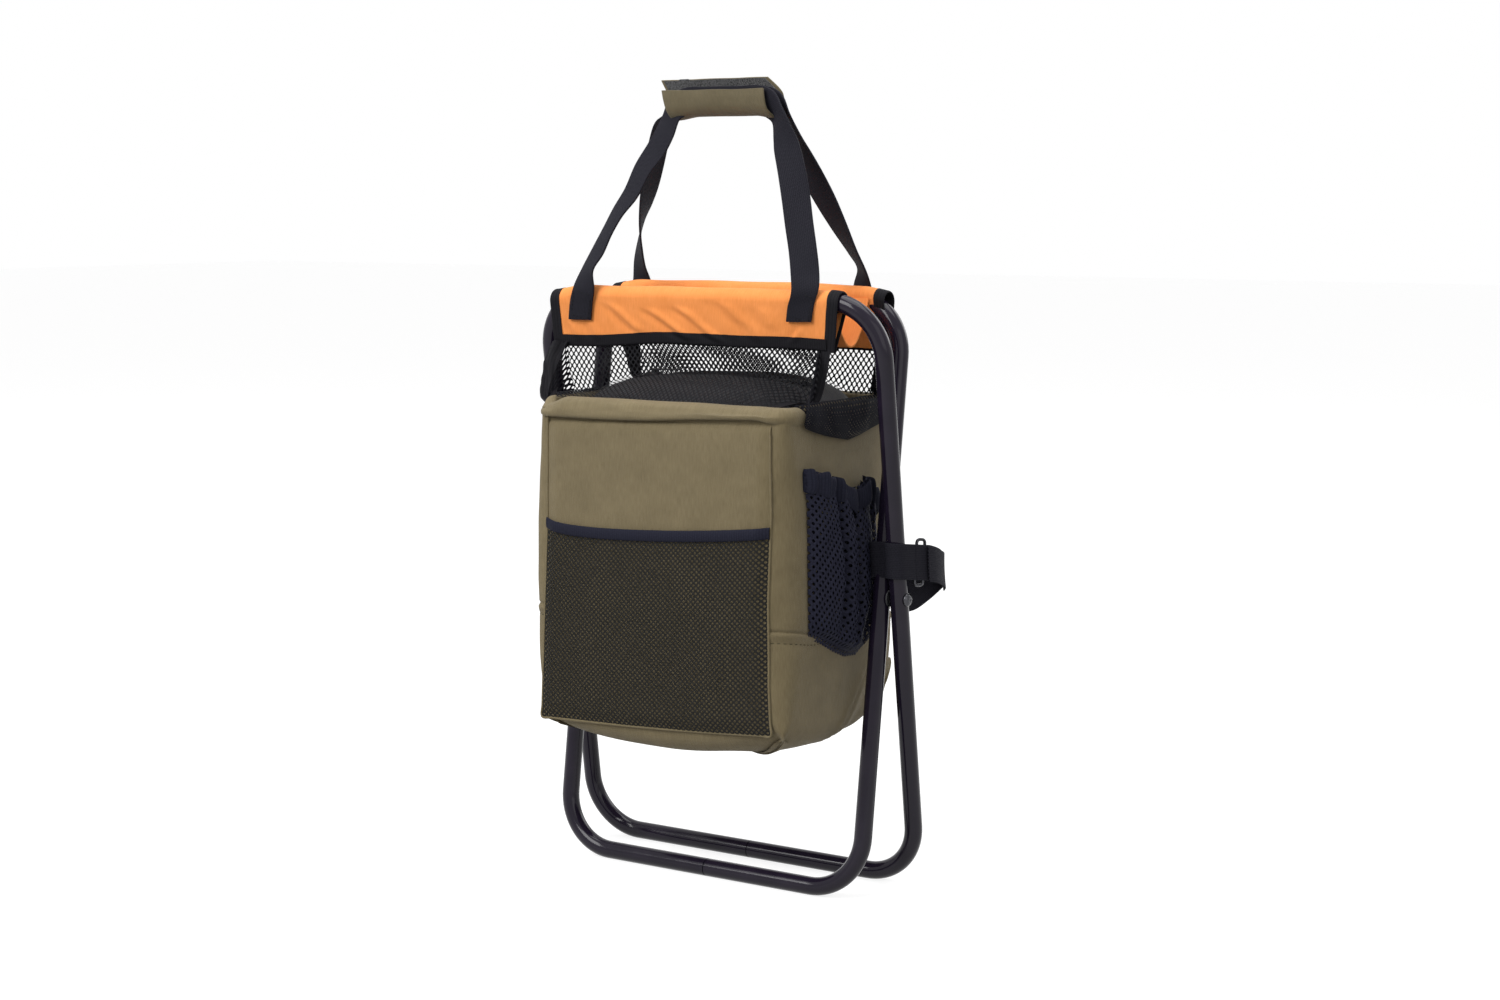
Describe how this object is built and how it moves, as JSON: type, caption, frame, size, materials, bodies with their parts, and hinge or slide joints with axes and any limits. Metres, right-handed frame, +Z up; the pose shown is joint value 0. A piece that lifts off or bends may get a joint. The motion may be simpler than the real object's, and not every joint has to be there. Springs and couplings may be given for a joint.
{
  "type": "folding cooler stool",
  "caption": "Folding stool of two crossed tube loops with a cloth sling seat, an insulated bag hung between the legs, net pockets and webbing carry handles.",
  "frame": {"origin": "on the floor, under the middle of the folded stool's outline", "axes": "+Z up, front panel towards -Y, closure strap on the +X side"},
  "size_m": [0.3786, 0.2028, 0.7181],
  "materials": {
    "black_paint": "gloss black paint",
    "bright_steel": "zinc plated",
    "black_webbing": "woven webbing",
    "orange_cloth": "plain woven cloth",
    "olive_cloth": "plain woven cloth",
    "dark_net": "knitted net",
    "black_nylon": "moulded nylon",
    "foam": "closed-cell foam",
    "foil": "crinkled foil film",
    "board": "hollow plastic board"
  },
  "bodies": {
    "bag": {"bag_shell": "olive_cloth", "base_board": "board", "foam_liner": "foam", "foil_lining": "foil", "mouth_roll": "olive_cloth", "cooler_lid": "dark_net", "zip": "black_nylon", "front_panel": "olive_cloth", "slip_pocket_net": "dark_net", "slip_pocket_binding": "black_webbing", "left_pocket_net": "dark_net", "left_pocket_binding": "black_webbing", "right_pocket_net": "dark_net", "right_pocket_binding": "black_webbing", "front_net": "dark_net", "rear_net": "dark_net", "left_net": "dark_net", "right_net": "dark_net", "seat_sling": "orange_cloth"},
    "outer_frame": {"outer_frame_tube": "black_paint", "outer_frame_spigot": "bright_steel", "left_pivot_rivet": "bright_steel", "right_pivot_rivet": "bright_steel", "left_pivot_washer": "black_nylon", "right_pivot_washer": "black_nylon", "front_sleeve": "orange_cloth", "front_hem": "black_webbing", "front_sleeve_binding_left": "black_webbing", "front_sleeve_binding_right": "black_webbing", "front_handle_tab_left": "black_webbing", "front_handle_tab_right": "black_webbing", "closure_strap": "black_webbing", "closure_strap_tail": "black_webbing", "closure_ring": "bright_steel"},
    "inner_frame": {"inner_frame_tube": "black_paint", "inner_frame_spigot": "bright_steel", "rear_sleeve": "orange_cloth", "rear_hem": "black_webbing", "rear_sleeve_binding_left": "black_webbing", "rear_sleeve_binding_right": "black_webbing", "rear_handle_tab_left": "black_webbing", "rear_handle_tab_right": "black_webbing"},
    "front_handle": {"front_handle": "black_webbing", "grip_wrap": "olive_cloth", "grip_hook_tape": "black_webbing", "grip_loop_tape": "black_webbing"},
    "rear_handle": {"rear_handle": "black_webbing"},
    "zip_slider": {"zip_slider": "black_nylon", "zip_puller": "black_nylon"}
  },
  "joints": [
    {"name": "outer_frame_fold", "type": "hinge", "parent": "bag", "child": "outer_frame", "pos_m": [0, 0.0164, 0.26619], "axis": [1, 0, 0], "range_deg": [0, 27], "deforming": ["seat_sling", "front_net", "rear_net", "left_net", "right_net", "closure_strap", "closure_strap_tail", "grip_wrap", "grip_loop_tape"]},
    {"name": "inner_frame_fold", "type": "hinge", "parent": "bag", "child": "inner_frame", "pos_m": [0, 0.0164, 0.26619], "axis": [1, 0, 0], "range_deg": [-27, 0], "deforming": ["seat_sling", "front_net", "rear_net", "left_net", "right_net", "closure_strap", "closure_strap_tail", "grip_wrap", "grip_loop_tape"]},
    {"name": "front_handle_swing", "type": "hinge", "parent": "outer_frame", "child": "front_handle", "pos_m": [0, -0.03361, 0.53292], "axis": [1, 0, 0], "range_deg": [0, 130], "deforming": ["grip_wrap", "grip_loop_tape"]},
    {"name": "rear_handle_swing", "type": "hinge", "parent": "inner_frame", "child": "rear_handle", "pos_m": [0, 0.06641, 0.53292], "axis": [-1, 0, 0], "range_deg": [0, 130], "deforming": ["grip_wrap", "grip_loop_tape"]},
    {"name": "zip_slide", "type": "slide", "parent": "bag", "child": "zip_slider", "axis": [1, 0, 0], "range_m": [0, 0.135]}
  ],
  "couplings": [
    {"joint": "inner_frame_fold", "follows": "outer_frame_fold", "ratio": -1}
  ]
}
